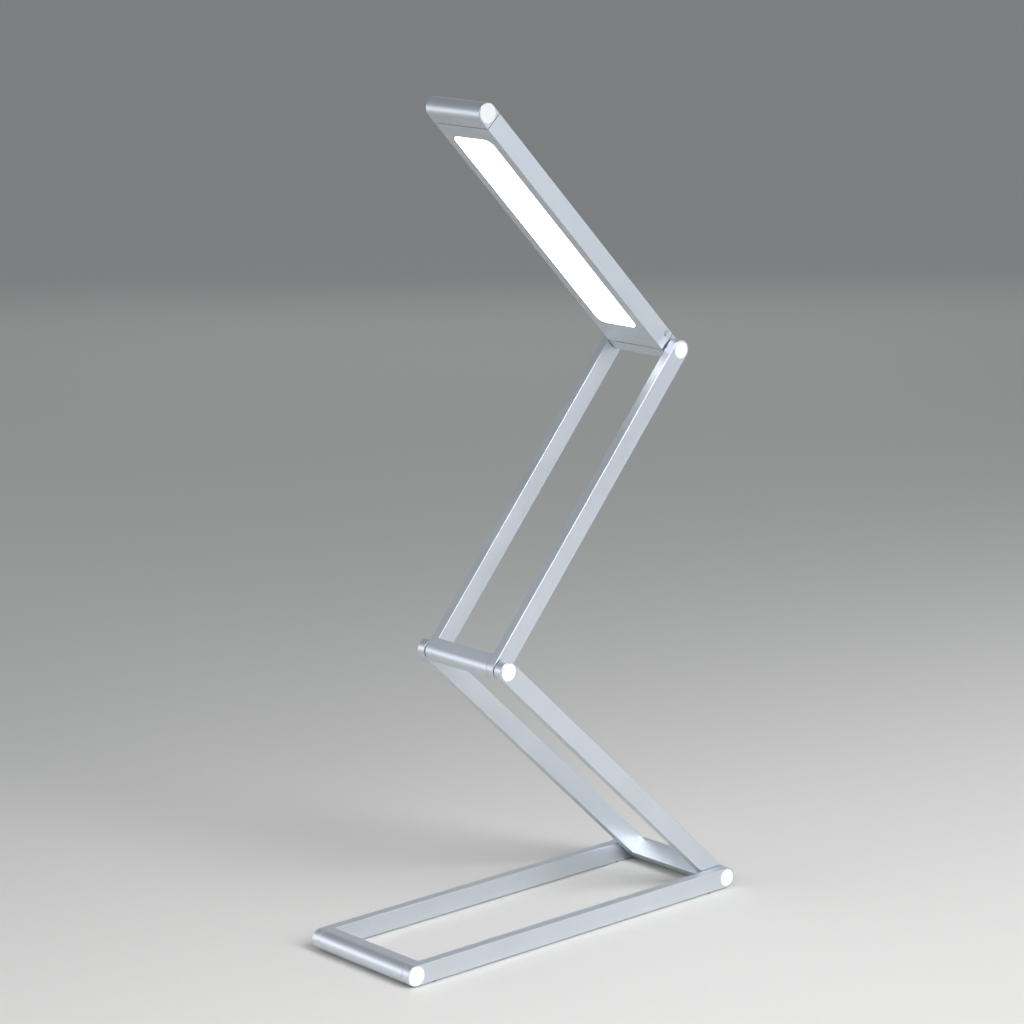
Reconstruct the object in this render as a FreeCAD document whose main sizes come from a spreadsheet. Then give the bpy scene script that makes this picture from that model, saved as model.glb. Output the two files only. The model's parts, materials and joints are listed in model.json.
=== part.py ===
import FreeCAD, Part
import math
import os
import Sketcher
from FreeCAD import Placement, Rotation, Vector

# Accordion desk lamp of satin aluminium: four flat frames, each nested in the one before it.
# The base frame lies on the desk, the lower arm hinges at its open end, the upper arm at the far
# end of the lower arm, and the slab-shaped lamp head at the far end of the upper arm. Folded, all
# four lie in one plane. The lamp is drawn here standing open.
#
# Row frame: +X from the base's front crossbar to the base hinge, +Z up, hinge axes along Y, origin
# on the desk at the base's middle. Left is +Y and right is -Y.
#
# Every frame has a frame of its own, in which it is drawn: its own crossbar's axis is the origin,
# +X runs to its far end, and the hinge axes are along Y. The head is drawn with its lit face
# towards +Z and its cover towards -Z.

# name, value in mm or degrees, what it is
SIZES = [
    ("bar_height", 12.0, "height of each rail and bar, twice the radius of their round ends"),
    ("bar_seam", 6.2, "crossbar axis to its flat inner face"),
    ("rail_thickness", 6.0, "thickness of each flat rail"),
    ("head_length", 204.4, "head hinge axis to the tip bar's axis"),
    ("head_width", 45.6, "width of the head, the narrowest frame"),
    ("side_gap", 0.8, "between nested rails"),
    ("fold_gap", 1.0, "between nested ends when folded flat"),
    ("edge_round", 0.4, "softened edges of the rails, bars and head"),
    ("base_open", 43.7, "lower arm, opened from folded"),
    ("mid_open", 93.0, "upper arm, opened from folded"),
    ("head_open", 96.0, "head, opened from folded"),
    ("foot_lift", 0.8, "how far the rubber feet stand out"),
    ("foot_socket", 0.7, "depth of the feet's sockets"),
    ("foot_radius", 2.2, "radius of a foot"),
    ("foot_inset", 14.0, "foot centre to the end axis of its rail"),
    ("cap_thickness", 1.5, "white cap over a screw"),
    ("cap_proud", 0.3, "how far a cap stands out of its rail"),
    ("cap_chamfer", 0.25, "bevel round a cap"),
    ("hinge_cap_radius", 5.0, "caps over the hinge screws"),
    ("bar_cap_radius", 5.6, "caps at the front bar and the tip bar"),
    ("screw_slack", 0.2, "between a screw's head and its cap"),
    ("screw_head_radius", 3.8, "low screw heads under the caps"),
    ("screw_head_thickness", 1.6, "low screw heads under the caps"),
    ("screw_pocket_gap", 0.2, "round a screw head in its pocket"),
    ("thread_radius", 1.5, "threaded end of the screws"),
    ("thread_in_bar", 9.0, "how deep a screw goes into its crossbar"),
    ("key_radius", 1.15, "corner radius of the hexagon socket in a screw head"),
    ("key_depth", 1.0, "depth of the hexagon socket"),
    ("pivot_radius", 2.0, "shoulder of a hinge screw"),
    ("washer_thickness", 0.4, "friction washer under a hinge screw's head"),
    ("washer_radius", 3.7, "friction washer, outside"),
    ("bush_wall", 1.0, "nylon bush round a hinge screw"),
    ("bush_flange_radius", 4.5, "bush's flange between two rails"),
    ("running_gap", 0.05, "clearance of a piece that turns"),
    ("press_gap", 0.02, "clearance of a piece that is pressed or screwed in"),
    ("dowel_radius", 1.0, "pin that keeps a rail from turning on its bar"),
    ("dowel_offset", 4.0, "bar axis to the dowel"),
    ("dowel_reach", 2.6, "depth of a dowel in its rail, and in its bar"),
    ("head_seam", 0.4, "shadow gap between the head's body and its end bars"),
    ("housing_wall", 1.4, "side walls of the head"),
    ("housing_floor", 1.4, "lit side's plate of the head"),
    ("cover_thickness", 1.0, "cover on the head's back"),
    ("cover_lip", 0.7, "side wall left beside the cover"),
    ("slide_gap", 0.1, "clearance of pieces laid or slid into the head"),
    ("tongue_length", 5.0, "end bars' tongues in the head"),
    ("tongue_margin", 7.8, "head's side to the tongues, which leaves room for the switch"),
    ("cover_screw_radius", 1.0, "shank of a cover screw"),
    ("cover_screw_head", 1.9, "countersunk head's radius"),
    ("cover_screw_sink", 0.8, "countersunk head's height"),
    ("cover_screw_length", 6.0, "cover screw from end to end"),
    ("cover_key_radius", 0.7, "corner radius of a cover screw's hexagon socket"),
    ("cover_key_depth", 0.4, "depth of a cover screw's hexagon socket"),
    ("cover_screw_spacing", 20.0, "between the two screws of an end"),
    ("lit_start", 24.8, "head hinge axis to the lit window"),
    ("lit_end", 16.6, "lit window to the tip bar's axis"),
    ("lit_margin", 6.6, "head's side to the lit window"),
    ("lit_corner", 5.0, "corner radius of the lit window"),
    ("diffuser_flange", 1.2, "thickness of the diffuser's hidden flange"),
    ("flange_reach", 2.0, "how far the flange goes past the window"),
    ("reflector_depth", 3.0, "from the diffuser's flange to the light board"),
    ("board_thickness", 1.0, "circuit boards"),
    ("light_length", 3.5, "one light"),
    ("light_width", 2.8, "one light"),
    ("light_height", 0.7, "one light"),
    ("light_pitch", 12.0, "between lights along the head"),
    ("light_row_gap", 16.0, "between the two rows of lights"),
    ("battery_start", 60.0, "head hinge axis to the battery"),
    ("battery_length", 110.0, "flat battery"),
    ("battery_width", 34.0, "flat battery"),
    ("battery_thickness", 4.0, "flat battery"),
    ("driver_start", 12.4, "head hinge axis to the driver board"),
    ("driver_length", 34.0, "driver board"),
    ("driver_component_height", 2.5, "tall components on the driver board"),
    ("inductor_size", 7.0, "square coil on the driver board"),
    ("inductor_x", 34.0, "head hinge axis to the coil's middle"),
    ("inductor_y", 9.0, "head's middle to the coil's middle"),
    ("chip_length", 8.0, "control chip"),
    ("chip_width", 5.0, "control chip"),
    ("chip_height", 1.4, "control chip"),
    ("chip_x", 30.0, "head hinge axis to the chip's middle"),
    ("chip_y", -8.0, "head's middle to the chip's middle"),
    ("lead_radius", 0.6, "battery leads"),
    ("lead_overlap", 2.0, "length of a lead that lies on the driver board"),
    ("lead_spacing", 6.0, "between the two battery leads"),
    ("port_width", 8.9, "charging socket's shell"),
    ("port_height", 3.2, "charging socket's shell"),
    ("port_depth", 7.4, "charging socket's shell"),
    ("port_wall", 0.3, "charging socket's sheet metal"),
    ("port_gap", 0.15, "round the socket in the side wall"),
    ("port_x", 17.6, "head hinge axis to the socket's middle"),
    ("port_blade", 0.7, "contact blade in the socket"),
    ("port_blade_width", 6.4, "contact blade in the socket"),
    ("port_blade_length", 5.0, "contact blade in the socket"),
    ("button_x", 10.3, "head hinge axis to the switch button"),
    ("button_back", 2.9, "middle of the head's side up to the switch button"),
    ("button_radius", 1.5, "switch button"),
    ("button_hole_gap", 0.2, "round the button in the side wall"),
    ("button_proud", 0.4, "how far the button stands out"),
    ("button_flange_radius", 1.9, "flange that keeps the button in"),
    ("button_flange_thickness", 0.6, "flange that keeps the button in"),
    ("button_travel", 0.4, "how far the button goes in"),
    ("switch_size", 3.6, "square body of the switch"),
    ("switch_depth", 2.5, "square body of the switch"),
    ("switch_board", 0.8, "small upright board that carries the switch"),
    ("switch_board_width", 4.8, "small upright board that carries the switch"),
]

LEFT = 1
RIGHT = -1
SIDE_NAMES = {LEFT: "left", RIGHT: "right"}
AWAY = 1
BACK = -1
QUARTER_TURN = math.pi / 2

DOC = FreeCAD.newDocument("AccordionLamp")
SHEET = DOC.addObject("Spreadsheet::Sheet", "Sizes")
SUB_PARTS = []
CUTS = []


def fill_sheet():
    """Writes each size to the sheet: name, value and note in a row, with the name as alias."""
    for row, (name, value, note) in enumerate(SIZES, start=1):
        SHEET.set(f"A{row}", name)
        SHEET.set(f"B{row}", str(value))
        SHEET.set(f"C{row}", note)
        SHEET.setAlias(f"B{row}", name)
    DOC.recompute()


# Sizes that follow from the driving ones, as expressions on the sheet.
END_RADIUS = "Sizes.bar_height / 2"
FOLD_STEP = "(Sizes.bar_height / 2 + Sizes.bar_seam + Sizes.fold_gap)"
NEST_STEP = "(Sizes.rail_thickness + Sizes.side_gap)"
CAP_DEPTH = "(Sizes.cap_thickness - Sizes.cap_proud)"
HEAD_POCKET = f"({CAP_DEPTH} + Sizes.screw_slack + Sizes.screw_head_thickness)"
PIVOT_POCKET = f"({HEAD_POCKET} + Sizes.running_gap + Sizes.washer_thickness)"
PIVOT_BORE = "(Sizes.pivot_radius + Sizes.running_gap)"

LENGTH = {
    "head": "Sizes.head_length",
    "upper_arm": f"(Sizes.head_length + {FOLD_STEP})",
    "lower_arm": f"(Sizes.head_length + 2 * {FOLD_STEP})",
    "base": f"(Sizes.head_length + 3 * {FOLD_STEP})",
}
HALF_WIDTH = {
    "head": "(Sizes.head_width / 2)",
    "upper_arm": f"(Sizes.head_width / 2 + {NEST_STEP})",
    "lower_arm": f"(Sizes.head_width / 2 + 2 * {NEST_STEP})",
    "base": f"(Sizes.head_width / 2 + 3 * {NEST_STEP})",
}
INNER_HALF_WIDTH = {
    frame: f"({HALF_WIDTH[frame]} - Sizes.rail_thickness)" for frame in ("base", "lower_arm", "upper_arm")
}

# Angle of each frame's own +X above the row's +X, in degrees.
TILT = {
    "base": "0",
    "lower_arm": "(180 - Sizes.base_open)",
    "upper_arm": "(Sizes.mid_open - Sizes.base_open)",
    "head": "(180 - Sizes.base_open + Sizes.mid_open - Sizes.head_open)",
}


def beyond(start, frame, turn):
    """A coordinate of a frame's far end: the start plus the length times cos or sin of the tilt."""
    return f"({start} + {LENGTH[frame]} * {turn}({TILT[frame]} * 1 deg))"


ORIGIN_X = {"base": f"(-{LENGTH['base']} / 2)", "lower_arm": f"({LENGTH['base']} / 2)"}
ORIGIN_Z = {"base": f"(Sizes.foot_lift + {END_RADIUS})", "lower_arm": f"(Sizes.foot_lift + {END_RADIUS})"}
ORIGIN_X["upper_arm"] = beyond(ORIGIN_X["lower_arm"], "lower_arm", "cos")
ORIGIN_Z["upper_arm"] = beyond(ORIGIN_Z["lower_arm"], "lower_arm", "sin")
ORIGIN_X["head"] = beyond(ORIGIN_X["upper_arm"], "upper_arm", "cos")
ORIGIN_Z["head"] = beyond(ORIGIN_Z["upper_arm"], "upper_arm", "sin")

# Heights inside the head, measured in its own frame: the lit side is up.
LIT_FACE = "(Sizes.bar_height / 2)"
FLOOR_INSIDE = f"({LIT_FACE} - Sizes.housing_floor)"
FLANGE_BACK = f"({FLOOR_INSIDE} - Sizes.diffuser_flange)"
LIGHT_BOARD_FRONT = f"({FLANGE_BACK} - Sizes.reflector_depth)"
LIGHT_BOARD_BACK = f"({LIGHT_BOARD_FRONT} - Sizes.board_thickness)"
COVER_OUTSIDE = "(-Sizes.bar_height / 2)"
COVER_INSIDE = f"({COVER_OUTSIDE} + Sizes.cover_thickness)"
DRIVER_FRONT = f"({LIGHT_BOARD_BACK} - 3 * Sizes.slide_gap - Sizes.driver_component_height)"
HOUSING_START = "(Sizes.bar_seam + Sizes.head_seam)"
HOUSING_END = "(Sizes.head_length - Sizes.bar_seam - Sizes.head_seam)"
HOUSING_HALF_INSIDE = "(Sizes.head_width / 2 - Sizes.housing_wall)"
WINDOW_END = "(Sizes.head_length - Sizes.lit_end)"
WINDOW_HALF = "(Sizes.head_width / 2 - Sizes.lit_margin)"
FLANGE_START = "(Sizes.lit_start - Sizes.flange_reach)"
FLANGE_END = f"({WINDOW_END} + Sizes.flange_reach)"


# ---- small tools for sketches and features ----

def bind(thing, **expressions):
    """Binds properties of an object to expressions."""
    for name, expression in expressions.items():
        thing.setExpression(name, expression)


def stands_in(thing, frame, label):
    """Makes a finished object a named sub-part and puts it where its frame stands."""
    thing.Label = label
    thing.Placement = Placement(Vector(), Rotation(Vector(0, -1, 0), 1))
    thing.setExpression("Placement.Base.x", ORIGIN_X[frame])
    thing.setExpression("Placement.Base.z", ORIGIN_Z[frame])
    thing.setExpression("Placement.Rotation.Angle", TILT[frame])
    SUB_PARTS.append(thing)
    return thing


def sketch_on(body, name, role, offset="0"):
    """A sketch on one of the body's own origin planes, moved along the plane's normal."""
    sketch = body.newObject("Sketcher::SketchObject", name)
    plane = next(item for item in body.Origin.OriginFeatures if item.Role == role)
    sketch.AttachmentSupport = [(plane, "")]
    sketch.MapMode = "FlatFace"
    sketch.setExpression("AttachmentOffset.Base.z", offset)
    return sketch


def measured(sketch, kind, expression, *where):
    """Adds a dimension to the sketch and binds it to an expression."""
    index = sketch.addConstraint(Sketcher.Constraint(kind, *where))
    name = f"size_{index}"
    sketch.renameConstraint(index, name)
    sketch.setExpression(f"Constraints.{name}", expression)


def draw_circle(sketch, x, y, radius, guess):
    """A circle about (x, y); guess is its first centre, on the right side of the axes."""
    circle = sketch.addGeometry(Part.Circle(Vector(*guess, 0), Vector(0, 0, 1), 1))
    measured(sketch, "Radius", radius, circle, 1.0)
    measured(sketch, "DistanceX", x, -1, 1, circle, 3, guess[0])
    measured(sketch, "DistanceY", y, -1, 1, circle, 3, guess[1])


def draw_rectangle(sketch, x_low, x_high, y_low, y_high):
    """A rectangle between four signed distances from the sketch's origin."""
    corners = [Vector(-1, -1), Vector(1, -1), Vector(1, 1), Vector(-1, 1)]
    sides = []
    for index, corner in enumerate(corners):
        sides.append(sketch.addGeometry(Part.LineSegment(corner, corners[(index + 1) % 4])))
    for index, side in enumerate(sides):
        sketch.addConstraint(Sketcher.Constraint("Coincident", side, 2, sides[(index + 1) % 4], 1))
        direction = "Horizontal" if index % 2 == 0 else "Vertical"
        sketch.addConstraint(Sketcher.Constraint(direction, side))
    measured(sketch, "DistanceX", x_low, -1, 1, sides[0], 1, -1.0)
    measured(sketch, "DistanceY", y_low, -1, 1, sides[0], 1, -1.0)
    measured(sketch, "DistanceX", x_high, -1, 1, sides[2], 1, 1.0)
    measured(sketch, "DistanceY", y_high, -1, 1, sides[2], 1, 1.0)


def draw_slot(sketch, x, y, length, radius, guess):
    """Two round ends joined by straight sides; the first end's centre is (x, y)."""
    near = Vector(*guess, 0)
    far = near + Vector(10, 0, 0)
    up = Vector(0, 1, 0)
    near_circle = Part.Circle(near, Vector(0, 0, 1), 1)
    far_circle = Part.Circle(far, Vector(0, 0, 1), 1)
    ends = [
        sketch.addGeometry(Part.ArcOfCircle(near_circle, QUARTER_TURN, 3 * QUARTER_TURN)),
        sketch.addGeometry(Part.ArcOfCircle(far_circle, -QUARTER_TURN, QUARTER_TURN)),
    ]
    low = sketch.addGeometry(Part.LineSegment(near - up, far - up))
    high = sketch.addGeometry(Part.LineSegment(far + up, near + up))
    joints = [(ends[0], 2, low, 1), (low, 2, ends[1], 1), (ends[1], 2, high, 1), (high, 2, ends[0], 1)]
    for joint in joints:
        sketch.addConstraint(Sketcher.Constraint("Tangent", *joint))
    sketch.addConstraint(Sketcher.Constraint("Horizontal", low))
    sketch.addConstraint(Sketcher.Constraint("Horizontal", high))
    measured(sketch, "Radius", radius, ends[0], 1.0)
    measured(sketch, "DistanceX", length, ends[0], 3, ends[1], 3, 10.0)
    measured(sketch, "DistanceX", x, -1, 1, ends[0], 3, guess[0])
    measured(sketch, "DistanceY", y, -1, 1, ends[0], 3, guess[1])


def draw_nosed_bar(sketch, centre, facing):
    """A D: half a circle about the bar's axis, and a flat face on the `facing` side of it."""
    first = 100.0 if facing == BACK else 0.0
    middle = Vector(first, 0, 0)
    up = Vector(0, 5, 0)
    ahead = Vector(5 * facing, 0, 0)
    start = QUARTER_TURN * facing
    circle = Part.Circle(middle, Vector(0, 0, 1), 5)
    nose = sketch.addGeometry(Part.ArcOfCircle(circle, start, start + 2 * QUARTER_TURN))
    high_end = 1 if facing == AWAY else 2
    high = sketch.addGeometry(Part.LineSegment(middle + up, middle + up + ahead))
    flat = sketch.addGeometry(Part.LineSegment(middle + up + ahead, middle - up + ahead))
    low = sketch.addGeometry(Part.LineSegment(middle - up + ahead, middle - up))
    sketch.addConstraint(Sketcher.Constraint("Tangent", nose, high_end, high, 1))
    sketch.addConstraint(Sketcher.Constraint("Coincident", high, 2, flat, 1))
    sketch.addConstraint(Sketcher.Constraint("Coincident", flat, 2, low, 1))
    sketch.addConstraint(Sketcher.Constraint("Tangent", low, 2, nose, 3 - high_end))
    sketch.addConstraint(Sketcher.Constraint("Vertical", flat))
    sketch.addConstraint(Sketcher.Constraint("Horizontal", high))
    sketch.addConstraint(Sketcher.Constraint("Horizontal", low))
    sketch.addConstraint(Sketcher.Constraint("PointOnObject", nose, 3, -1))
    measured(sketch, "Radius", END_RADIUS, nose, 5.0)
    measured(sketch, "DistanceX", f"{facing} * Sizes.bar_seam", nose, 3, flat, 1, 5.0 * facing)
    measured(sketch, "DistanceX", centre, -1, 1, nose, 3, first)


def pad(body, sketch, length, symmetric=False, backwards=False):
    """Extrudes the sketch along its normal, or against it, or both ways."""
    feature = body.newObject("PartDesign::Pad", f"{sketch.Name}_pad")
    feature.Profile = sketch
    feature.SideType = "Symmetric" if symmetric else "One side"
    feature.Reversed = backwards
    feature.setExpression("Length", length)
    DOC.recompute()
    return feature


def pocket(body, sketch, depth, along_normal):
    """Cuts the sketch into the body, along the sketch's normal or against it."""
    feature = body.newObject("PartDesign::Pocket", f"{sketch.Name}_pocket")
    feature.Profile = sketch
    feature.Reversed = along_normal
    feature.setExpression("Length", depth)
    CUTS.append(feature)
    return feature


def round_edges(body, feature, radius, chosen):
    """Rounds the feature's edges for which chosen(edge) holds."""
    DOC.recompute()
    edges = feature.Shape.Edges
    names = [f"Edge{number}" for number, edge in enumerate(edges, start=1) if chosen(edge)]
    fillet = body.newObject("PartDesign::Fillet", f"{feature.Name}_fillet")
    fillet.Base = (feature, names)
    fillet.setExpression("Radius", radius)
    DOC.recompute()
    return fillet


def spans(edge, axis):
    """True for a straight edge along the row of box sizes' given axis, 0 for X to 2 for Z."""
    box = edge.BoundBox
    extents = [box.XLength, box.YLength, box.ZLength]
    across = [extent for index, extent in enumerate(extents) if index != axis]
    return extents[axis] > 0.5 and max(across) < 0.01


def cylinder(name, radius, start, end, x="0"):
    """A cylinder along Y between two distances from the middle plane, on the left side."""
    solid = DOC.addObject("Part::Cylinder", name)
    solid.Placement = Placement(Vector(), Rotation(Vector(1, 0, 0), -90))
    bind(solid, Radius=radius, Height=f"{end} - ({start})")
    solid.setExpression("Placement.Base.x", x)
    solid.setExpression("Placement.Base.y", start)
    return solid


def cone(name, radius, end_radius, start, end, x="0"):
    """As a cylinder, but with another radius at its end."""
    solid = DOC.addObject("Part::Cone", name)
    solid.Placement = Placement(Vector(), Rotation(Vector(1, 0, 0), -90))
    bind(solid, Radius1=radius, Radius2=end_radius, Height=f"{end} - ({start})")
    solid.setExpression("Placement.Base.x", x)
    solid.setExpression("Placement.Base.y", start)
    return solid


def box(name, x_low, x_high, y_low, y_high, z_low, z_high):
    """A box between six signed distances."""
    solid = DOC.addObject("Part::Box", name)
    bind(solid, Length=f"{x_high} - ({x_low})", Width=f"{y_high} - ({y_low})", Height=f"{z_high} - ({z_low})")
    solid.setExpression("Placement.Base.x", x_low)
    solid.setExpression("Placement.Base.y", y_low)
    solid.setExpression("Placement.Base.z", z_low)
    return solid


def box_in_head(label, *limits):
    """A box between six signed distances, as a sub-part of the head."""
    stands_in(group(label, [box(f"{label}_block", *limits)]), "head", label)


def fuse(name, solids):
    joined = DOC.addObject("Part::MultiFuse", name)
    joined.Shapes = solids
    joined.Refine = True
    return joined


def cut(name, solid, tool):
    remainder = DOC.addObject("Part::Cut", name)
    remainder.Base = solid
    remainder.Tool = tool
    return remainder


def group(name, solids):
    together = DOC.addObject("Part::Compound", name)
    together.Links = solids
    return together


def left_and_right(label, frame, solid):
    """Groups a solid of the left side with its mirror image on the right side."""
    twin = DOC.addObject("Part::Mirroring", f"{label}_twin")
    twin.Source = solid
    twin.Normal = Vector(0, 1, 0)
    return stands_in(group(f"{label}_pair", [solid, twin]), frame, label)


# ---- rails and crossbars ----

def add_cap_seat(body, face, side, x, guess_x, cap_radius, pocket_depth):
    """Stepped holes in a rail's outer face: a shallow one for the cap, a deeper one for the screw."""
    steps = [
        ("cap_recess", f"{cap_radius} + Sizes.press_gap", CAP_DEPTH),
        ("screw_pocket", "Sizes.screw_head_radius + Sizes.screw_pocket_gap", pocket_depth),
    ]
    for name, radius, depth in steps:
        sketch = sketch_on(body, name, "XZ_Plane", face)
        draw_circle(sketch, x, "0", radius, (guess_x, 0))
        pocket(body, sketch, depth, along_normal=side == LEFT)


def add_through_hole(body, face, side, x, guess_x, radius):
    """A round hole through the rail, cut from its outer face."""
    sketch = sketch_on(body, "through_hole", "XZ_Plane", face)
    draw_circle(sketch, x, "0", radius, (guess_x, 0))
    pocket(body, sketch, "Sizes.rail_thickness", along_normal=side == LEFT)


def add_dowel_hole(body, frame, side):
    """A blind hole in the rail's inner face for the dowel."""
    sketch = sketch_on(body, "dowel_hole", "XZ_Plane", f"{-side} * {INNER_HALF_WIDTH[frame]}")
    draw_circle(sketch, "Sizes.dowel_offset", "0", "Sizes.dowel_radius + Sizes.press_gap", (4, 0))
    pocket(body, sketch, "Sizes.dowel_reach + Sizes.press_gap", along_normal=side == RIGHT)


def add_foot_sockets(body, side):
    """Two shallow sockets in the underside of a base rail."""
    sketch = sketch_on(body, "foot_sockets", "XY_Plane", f"-{END_RADIUS}")
    middle = f"{side} * ({HALF_WIDTH['base']} - Sizes.rail_thickness / 2)"
    radius = "Sizes.foot_radius + Sizes.press_gap"
    draw_circle(sketch, "Sizes.foot_inset", middle, radius, (14, side * 40))
    draw_circle(sketch, f"{LENGTH['base']} - Sizes.foot_inset", middle, radius, (230, side * 40))
    pocket(body, sketch, "Sizes.foot_socket", along_normal=True)


def make_rail(frame, side):
    """A flat bar with fully round ends, about its own crossbar's axis and its far hinge's axis."""
    label = f"{frame}_rail_{SIDE_NAMES[side]}"
    body = DOC.addObject("PartDesign::Body", label)
    face = f"{-side} * {HALF_WIDTH[frame]}"
    outline = sketch_on(body, "outline", "XZ_Plane", face)
    draw_slot(outline, "0", "0", LENGTH[frame], END_RADIUS, (0, 0))
    blank = pad(body, outline, "Sizes.rail_thickness", backwards=side == RIGHT)
    round_edges(body, blank, "Sizes.edge_round", lambda edge: edge.BoundBox.YLength < 0.01)
    if frame == "base":
        add_cap_seat(body, face, side, "0", 0, "Sizes.bar_cap_radius", HEAD_POCKET)
        add_foot_sockets(body, side)
    add_through_hole(body, face, side, "0", 0, "Sizes.thread_radius + Sizes.press_gap")
    add_dowel_hole(body, frame, side)
    add_cap_seat(body, face, side, LENGTH[frame], 100, "Sizes.hinge_cap_radius", PIVOT_POCKET)
    bush_hole = f"{PIVOT_BORE} + Sizes.bush_wall + Sizes.press_gap"
    add_through_hole(body, face, side, LENGTH[frame], 100, bush_hole)
    stands_in(body, frame, label)


def make_nosed_bar(label, frame, half_length, centre="0", facing=AWAY, with_dowels=True):
    """A crossbar: extruded D section with a bore for its screws and one for its dowels."""
    body = DOC.addObject("PartDesign::Body", label)
    section = sketch_on(body, "section", "XZ_Plane")
    draw_nosed_bar(section, centre, facing)
    guess = 100 if facing == BACK else 0
    draw_circle(section, centre, "0", "Sizes.thread_radius + Sizes.press_gap", (guess, 0))
    if with_dowels:
        draw_circle(section, "Sizes.dowel_offset", "0", "Sizes.dowel_radius + Sizes.press_gap", (4, 0))
    blank = pad(body, section, f"2 * {half_length}", symmetric=True)
    limits = blank.Shape.BoundBox
    flat_side = limits.XMax if facing == AWAY else limits.XMin

    def is_flat_side_corner(edge):
        corner = abs(abs(edge.CenterOfMass.z) - limits.ZMax) < 0.01
        return spans(edge, 1) and corner and abs(edge.CenterOfMass.x - flat_side) < 0.01

    def is_end_outline(edge):
        flat = edge.BoundBox.YLength < 0.01
        at_seam = spans(edge, 2) and abs(edge.CenterOfMass.x - flat_side) < 0.01
        in_bore = edge.BoundBox.ZLength < limits.ZMax and edge.BoundBox.XLength < limits.ZMax and edge.Closed
        return flat and not at_seam and not in_bore

    round_edges(body, blank, "Sizes.edge_round", is_flat_side_corner if with_dowels else is_end_outline)
    return stands_in(body, frame, label)


def make_dowels(frame):
    """Two steel pins, each half in a rail and half in the crossbar's end."""
    face = INNER_HALF_WIDTH[frame]
    start = f"({face} - Sizes.dowel_reach)"
    end = f"({face} + Sizes.dowel_reach)"
    pin = cylinder(f"{frame}_dowel", "Sizes.dowel_radius", start, end, "Sizes.dowel_offset")
    left_and_right(f"{frame}_dowels", frame, pin)


def make_open_frame(frame):
    """Two rails, the crossbar between them and its dowels."""
    make_nosed_bar(f"{frame}_crossbar", frame, INNER_HALF_WIDTH[frame])
    make_rail(frame, LEFT)
    make_rail(frame, RIGHT)
    make_dowels(frame)


# ---- screws, bushes, washers and caps ----

def make_caps(label, frame, radius, x):
    """White plastic caps, pressed over the screws and a little proud of the side."""
    bottom = f"({HALF_WIDTH[frame]} - {CAP_DEPTH})"
    bevel = f"({HALF_WIDTH[frame]} + Sizes.cap_proud - Sizes.cap_chamfer)"
    top = f"({HALF_WIDTH[frame]} + Sizes.cap_proud)"
    disc = cylinder(f"{label}_disc", radius, bottom, bevel, x)
    rim = cone(f"{label}_rim", radius, f"{radius} - Sizes.cap_chamfer", bevel, top, x)
    left_and_right(label, frame, fuse(f"{label}_cap", [disc, rim]))


def screw_with_key_socket(label, shanks, head_start, head_end):
    """A screw: its shanks and a low round head with a hexagon socket."""
    head = cylinder(f"{label}_head", "Sizes.screw_head_radius", head_start, head_end)
    blank = fuse(f"{label}_blank", [*shanks, head])
    socket = DOC.addObject("Part::Prism", f"{label}_socket")
    socket.Polygon = 6
    socket.Placement = Placement(Vector(), Rotation(Vector(1, 0, 0), -90))
    bind(socket, Circumradius="Sizes.key_radius", Height="Sizes.key_depth")
    socket.setExpression("Placement.Base.y", f"{head_end} - Sizes.key_depth")
    return cut(f"{label}_screw", blank, socket)


def make_bar_screws():
    """The screws that hold the base's rails to its front crossbar."""
    head_end = f"({HALF_WIDTH['base']} - {CAP_DEPTH} - Sizes.screw_slack)"
    head_start = f"({HALF_WIDTH['base']} - {HEAD_POCKET})"
    tip = f"({INNER_HALF_WIDTH['base']} - Sizes.thread_in_bar)"
    shank = cylinder("bar_screw_shank", "Sizes.thread_radius", tip, head_start)
    left_and_right("base_bar_screws", "base", screw_with_key_socket("bar", [shank], head_start, head_end))


def make_hinge(name, outer, inner, tip):
    """Shouldered screws fixed in the inner frame, turning in bushes in the outer frame's far end."""
    shoulder_start = HALF_WIDTH[inner]
    head_start = f"({HALF_WIDTH[outer]} - {HEAD_POCKET})"
    head_end = f"({HALF_WIDTH[outer]} - {CAP_DEPTH} - Sizes.screw_slack)"
    shoulder = cylinder(f"{name}_shoulder", "Sizes.pivot_radius", shoulder_start, head_start)
    thread = cylinder(f"{name}_thread", "Sizes.thread_radius", tip, shoulder_start)
    screw = screw_with_key_socket(name, [thread, shoulder], head_start, head_end)
    left_and_right(f"{name}_screws", inner, screw)

    far = LENGTH[outer]
    pocket_floor = f"({HALF_WIDTH[outer]} - {PIVOT_POCKET})"
    inner_face = INNER_HALF_WIDTH[outer]
    flange_start = f"({inner_face} - Sizes.side_gap + Sizes.running_gap)"
    sleeve = cylinder(f"{name}_sleeve", f"{PIVOT_BORE} + Sizes.bush_wall", inner_face, pocket_floor, far)
    flange = cylinder(f"{name}_flange", "Sizes.bush_flange_radius", flange_start, inner_face, far)
    bore = cylinder(f"{name}_bore", PIVOT_BORE, flange_start, pocket_floor, far)
    left_and_right(f"{name}_bushes", outer, cut(f"{name}_bush", fuse(f"{name}_bush_blank", [sleeve, flange]), bore))

    washer_end = f"({pocket_floor} + Sizes.washer_thickness)"
    disc = cylinder(f"{name}_washer_disc", "Sizes.washer_radius", pocket_floor, washer_end, far)
    hole = cylinder(f"{name}_washer_hole", PIVOT_BORE, pocket_floor, washer_end, far)
    left_and_right(f"{name}_washers", outer, cut(f"{name}_washer", disc, hole))
    make_caps(f"{name}_caps", outer, "Sizes.hinge_cap_radius", far)


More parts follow.
